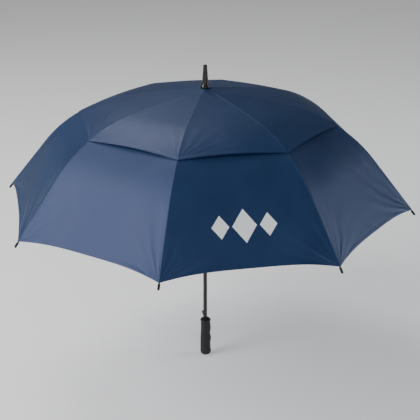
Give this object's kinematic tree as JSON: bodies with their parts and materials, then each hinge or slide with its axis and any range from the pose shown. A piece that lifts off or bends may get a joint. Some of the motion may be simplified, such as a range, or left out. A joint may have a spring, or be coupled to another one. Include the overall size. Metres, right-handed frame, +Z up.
{
  "type": "golf umbrella",
  "caption": "Open golf umbrella with a vented double canopy on ribs and stretchers, a sliding runner that folds it, and a straight sculpted grip.",
  "frame": {"origin": "centre of the handle's lower end, on the shaft axis", "axes": "+Z up the shaft to the ferrule, +X towards the grip's finger side, +Y to the back"},
  "size_m": [1.221, 1.221, 0.9395],
  "materials": {
    "canopy": "satin",
    "shaft": "satin",
    "rib": "satin",
    "stretcher": "satin",
    "black_plastic": "satin",
    "tip_plastic": "satin",
    "ferrule": "gloss",
    "ferrule_tip": "satin",
    "foam": "matte",
    "catch_steel": "satin"
  },
  "bodies": {
    "shaft": {"shaft_tube": "shaft", "crown_notch": "black_plastic", "crown_cap": "ferrule", "ferrule": "ferrule", "ferrule_tip": "ferrule_tip", "handle_collar": "black_plastic", "foam_grip": "foam"},
    "runner": {"runner": "black_plastic"},
    "closed_catch": {"closed_catch": "catch_steel"},
    "open_catch": {"open_catch": "catch_steel"},
    "rib_1": {"rib_inner_1": "rib", "canopy_upper_1": "canopy"},
    "rib_2": {"rib_inner_2": "rib", "canopy_upper_2": "canopy"},
    "rib_3": {"rib_inner_3": "rib", "canopy_upper_3": "canopy"},
    "rib_4": {"rib_inner_4": "rib", "canopy_upper_4": "canopy"},
    "rib_5": {"rib_inner_5": "rib", "canopy_upper_5": "canopy"},
    "rib_6": {"rib_inner_6": "rib", "canopy_upper_6": "canopy"},
    "rib_7": {"rib_inner_7": "rib", "canopy_upper_7": "canopy"},
    "rib_8": {"rib_inner_8": "rib", "canopy_upper_8": "canopy"},
    "rib_end_1": {"rib_outer_1": "rib", "rib_tip_1": "tip_plastic", "canopy_lower_1": "canopy"},
    "rib_end_2": {"rib_outer_2": "rib", "rib_tip_2": "tip_plastic", "canopy_lower_2": "canopy"},
    "rib_end_3": {"rib_outer_3": "rib", "rib_tip_3": "tip_plastic", "canopy_lower_3": "canopy"},
    "rib_end_4": {"rib_outer_4": "rib", "rib_tip_4": "tip_plastic", "canopy_lower_4": "canopy"},
    "rib_end_5": {"rib_outer_5": "rib", "rib_tip_5": "tip_plastic", "canopy_lower_5": "canopy"},
    "rib_end_6": {"rib_outer_6": "rib", "rib_tip_6": "tip_plastic", "canopy_lower_6": "canopy"},
    "rib_end_7": {"rib_outer_7": "rib", "rib_tip_7": "tip_plastic", "canopy_lower_7": "canopy"},
    "rib_end_8": {"rib_outer_8": "rib", "rib_tip_8": "tip_plastic", "canopy_lower_8": "canopy"},
    "stretcher_1": {"stretcher_1": "stretcher"},
    "stretcher_2": {"stretcher_2": "stretcher"},
    "stretcher_3": {"stretcher_3": "stretcher"},
    "stretcher_4": {"stretcher_4": "stretcher"},
    "stretcher_5": {"stretcher_5": "stretcher"},
    "stretcher_6": {"stretcher_6": "stretcher"},
    "stretcher_7": {"stretcher_7": "stretcher"},
    "stretcher_8": {"stretcher_8": "stretcher"}
  },
  "joints": [
    {"name": "runner_slide", "type": "slide", "parent": "shaft", "child": "runner", "axis": [0, 0, -1], "range_m": [0, 0.45815]},
    {"name": "rib_hinge_1", "type": "hinge", "parent": "shaft", "child": "rib_1", "pos_m": [-0.00195, -0.01033, 0.86647], "axis": [0.9826, -0.1857, 0], "range_deg": [0, 70.5], "deforming": ["canopy_upper_1"]},
    {"name": "rib_hinge_2", "type": "hinge", "parent": "shaft", "child": "rib_2", "pos_m": [0.00593, -0.00869, 0.86647], "axis": [0.8261, 0.5635, 0], "range_deg": [0, 70.5], "deforming": ["canopy_upper_2"]},
    {"name": "rib_hinge_3", "type": "hinge", "parent": "shaft", "child": "rib_3", "pos_m": [0.01033, -0.00195, 0.86647], "axis": [0.1857, 0.9826, 0], "range_deg": [0, 70.5], "deforming": ["canopy_upper_3"]},
    {"name": "rib_hinge_4", "type": "hinge", "parent": "shaft", "child": "rib_4", "pos_m": [0.00869, 0.00593, 0.86647], "axis": [-0.5635, 0.8261, 0], "range_deg": [0, 70.5], "deforming": ["canopy_upper_4"]},
    {"name": "rib_hinge_5", "type": "hinge", "parent": "shaft", "child": "rib_5", "pos_m": [0.00195, 0.01033, 0.86647], "axis": [-0.9826, 0.1857, 0], "range_deg": [0, 70.5], "deforming": ["canopy_upper_5"]},
    {"name": "rib_hinge_6", "type": "hinge", "parent": "shaft", "child": "rib_6", "pos_m": [-0.00593, 0.00869, 0.86647], "axis": [-0.8261, -0.5635, 0], "range_deg": [0, 70.5], "deforming": ["canopy_upper_6"]},
    {"name": "rib_hinge_7", "type": "hinge", "parent": "shaft", "child": "rib_7", "pos_m": [-0.01033, 0.00195, 0.86647], "axis": [-0.1857, -0.9826, 0], "range_deg": [0, 70.5], "deforming": ["canopy_upper_7"]},
    {"name": "rib_hinge_8", "type": "hinge", "parent": "shaft", "child": "rib_8", "pos_m": [-0.00869, -0.00593, 0.86647], "axis": [0.5635, -0.8261, 0], "range_deg": [0, 70.5], "deforming": ["canopy_upper_8"]},
    {"name": "rib_flex_1", "type": "hinge", "parent": "rib_1", "child": "rib_end_1", "pos_m": [-0.07072, -0.37425, 0.77718], "axis": [0.9826, -0.1857, 0], "range_deg": [-23.47, 0], "deforming": ["canopy_lower_1"]},
    {"name": "rib_flex_2", "type": "hinge", "parent": "rib_2", "child": "rib_end_2", "pos_m": [0.21463, -0.31464, 0.77718], "axis": [0.8261, 0.5635, 0], "range_deg": [-23.47, 0], "deforming": ["canopy_lower_2"]},
    {"name": "rib_flex_3", "type": "hinge", "parent": "rib_3", "child": "rib_end_3", "pos_m": [0.37425, -0.07072, 0.77718], "axis": [0.1857, 0.9826, 0], "range_deg": [-23.47, 0], "deforming": ["canopy_lower_3"]},
    {"name": "rib_flex_4", "type": "hinge", "parent": "rib_4", "child": "rib_end_4", "pos_m": [0.31464, 0.21463, 0.77718], "axis": [-0.5635, 0.8261, 0], "range_deg": [-23.47, 0], "deforming": ["canopy_lower_4"]},
    {"name": "rib_flex_5", "type": "hinge", "parent": "rib_5", "child": "rib_end_5", "pos_m": [0.07072, 0.37425, 0.77718], "axis": [-0.9826, 0.1857, 0], "range_deg": [-23.47, 0], "deforming": ["canopy_lower_5"]},
    {"name": "rib_flex_6", "type": "hinge", "parent": "rib_6", "child": "rib_end_6", "pos_m": [-0.21463, 0.31464, 0.77718], "axis": [-0.8261, -0.5635, 0], "range_deg": [-23.47, 0], "deforming": ["canopy_lower_6"]},
    {"name": "rib_flex_7", "type": "hinge", "parent": "rib_7", "child": "rib_end_7", "pos_m": [-0.37425, 0.07072, 0.77718], "axis": [-0.1857, -0.9826, 0], "range_deg": [-23.47, 0], "deforming": ["canopy_lower_7"]},
    {"name": "rib_flex_8", "type": "hinge", "parent": "rib_8", "child": "rib_end_8", "pos_m": [-0.31464, -0.21463, 0.77718], "axis": [0.5635, -0.8261, 0], "range_deg": [-23.47, 0], "deforming": ["canopy_lower_8"]},
    {"name": "stretcher_hinge_1", "type": "hinge", "parent": "rib_1", "child": "stretcher_1", "pos_m": [-0.06095, -0.32257, 0.79513], "axis": [0.9826, -0.1857, 0], "range_deg": [-131.83, 0]},
    {"name": "stretcher_hinge_2", "type": "hinge", "parent": "rib_2", "child": "stretcher_2", "pos_m": [0.18499, -0.27119, 0.79513], "axis": [0.8261, 0.5635, 0], "range_deg": [-131.83, 0]},
    {"name": "stretcher_hinge_3", "type": "hinge", "parent": "rib_3", "child": "stretcher_3", "pos_m": [0.32257, -0.06095, 0.79513], "axis": [0.1857, 0.9826, 0], "range_deg": [-131.83, 0]},
    {"name": "stretcher_hinge_4", "type": "hinge", "parent": "rib_4", "child": "stretcher_4", "pos_m": [0.27119, 0.18499, 0.79513], "axis": [-0.5635, 0.8261, 0], "range_deg": [-131.83, 0]},
    {"name": "stretcher_hinge_5", "type": "hinge", "parent": "rib_5", "child": "stretcher_5", "pos_m": [0.06095, 0.32257, 0.79513], "axis": [-0.9826, 0.1857, 0], "range_deg": [-131.83, 0]},
    {"name": "stretcher_hinge_6", "type": "hinge", "parent": "rib_6", "child": "stretcher_6", "pos_m": [-0.18499, 0.27119, 0.79513], "axis": [-0.8261, -0.5635, 0], "range_deg": [-131.83, 0]},
    {"name": "stretcher_hinge_7", "type": "hinge", "parent": "rib_7", "child": "stretcher_7", "pos_m": [-0.32257, 0.06095, 0.79513], "axis": [-0.1857, -0.9826, 0], "range_deg": [-131.83, 0]},
    {"name": "stretcher_hinge_8", "type": "hinge", "parent": "rib_8", "child": "stretcher_8", "pos_m": [-0.27119, -0.18499, 0.79513], "axis": [0.5635, -0.8261, 0], "range_deg": [-131.83, 0]},
    {"name": "closed_catch_press", "type": "hinge", "parent": "shaft", "child": "closed_catch", "pos_m": [-0.0024, 0, 0.134], "axis": [0, 1, 0], "range_deg": [0, 19], "stiffness_Nm_per_rad": 0.03, "springref_deg": -14.32},
    {"name": "open_catch_press", "type": "hinge", "parent": "shaft", "child": "open_catch", "pos_m": [-0.00235, -0.00049, 0.59452], "axis": [-0.2045, 0.9789, 0], "range_deg": [0, 19], "stiffness_Nm_per_rad": 0.03, "springref_deg": -14.32}
  ],
  "couplings": [
    {"joint": "rib_hinge_1", "follows": "runner_slide", "rad_per_m": 2.6855},
    {"joint": "rib_hinge_2", "follows": "runner_slide", "rad_per_m": 2.6855},
    {"joint": "rib_hinge_3", "follows": "runner_slide", "rad_per_m": 2.6855},
    {"joint": "rib_hinge_4", "follows": "runner_slide", "rad_per_m": 2.6855},
    {"joint": "rib_hinge_5", "follows": "runner_slide", "rad_per_m": 2.6855},
    {"joint": "rib_hinge_6", "follows": "runner_slide", "rad_per_m": 2.6855},
    {"joint": "rib_hinge_7", "follows": "runner_slide", "rad_per_m": 2.6855},
    {"joint": "rib_hinge_8", "follows": "runner_slide", "rad_per_m": 2.6855},
    {"joint": "rib_flex_1", "follows": "runner_slide", "rad_per_m": -0.89396},
    {"joint": "rib_flex_2", "follows": "runner_slide", "rad_per_m": -0.89396},
    {"joint": "rib_flex_3", "follows": "runner_slide", "rad_per_m": -0.89396},
    {"joint": "rib_flex_4", "follows": "runner_slide", "rad_per_m": -0.89396},
    {"joint": "rib_flex_5", "follows": "runner_slide", "rad_per_m": -0.89396},
    {"joint": "rib_flex_6", "follows": "runner_slide", "rad_per_m": -0.89396},
    {"joint": "rib_flex_7", "follows": "runner_slide", "rad_per_m": -0.89396},
    {"joint": "rib_flex_8", "follows": "runner_slide", "rad_per_m": -0.89396},
    {"joint": "stretcher_hinge_1", "follows": "runner_slide", "rad_per_m": -5.022},
    {"joint": "stretcher_hinge_2", "follows": "runner_slide", "rad_per_m": -5.022},
    {"joint": "stretcher_hinge_3", "follows": "runner_slide", "rad_per_m": -5.022},
    {"joint": "stretcher_hinge_4", "follows": "runner_slide", "rad_per_m": -5.022},
    {"joint": "stretcher_hinge_5", "follows": "runner_slide", "rad_per_m": -5.022},
    {"joint": "stretcher_hinge_6", "follows": "runner_slide", "rad_per_m": -5.022},
    {"joint": "stretcher_hinge_7", "follows": "runner_slide", "rad_per_m": -5.022},
    {"joint": "stretcher_hinge_8", "follows": "runner_slide", "rad_per_m": -5.022}
  ]
}
